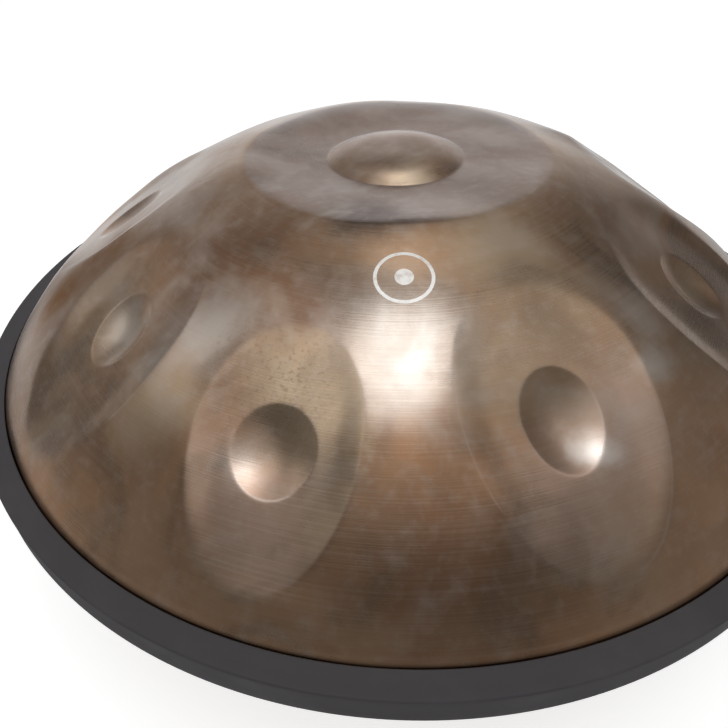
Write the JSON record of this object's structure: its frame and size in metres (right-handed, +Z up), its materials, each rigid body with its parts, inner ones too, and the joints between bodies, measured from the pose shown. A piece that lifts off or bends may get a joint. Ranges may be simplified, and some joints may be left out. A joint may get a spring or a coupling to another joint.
{
  "type": "handpan",
  "caption": "Handpan: two domed steel shells joined at a flange, with a raised central note, oval dimpled tone fields on top, a round port below and a rubber rim trim.",
  "frame": {"origin": "on the instrument's axis, at the plane of the flat land round the port that it rests on", "axes": "+Z up along the axis towards the central note; -Y towards the player, on whose side the smallest tone field lies"},
  "size_m": [0.54, 0.54, 0.2453],
  "materials": {
    "patinated_steel": "heat-coloured bronze brown, fine circular brushing, satin sheen",
    "trim_rubber": "matte charcoal",
    "adhesive": "cured adhesive, dull"
  },
  "bodies": {
    "root": {"top_shell": "patinated_steel", "bottom_shell": "patinated_steel", "flange_adhesive": "adhesive", "rim_trim": "trim_rubber"}
  },
  "joints": []
}
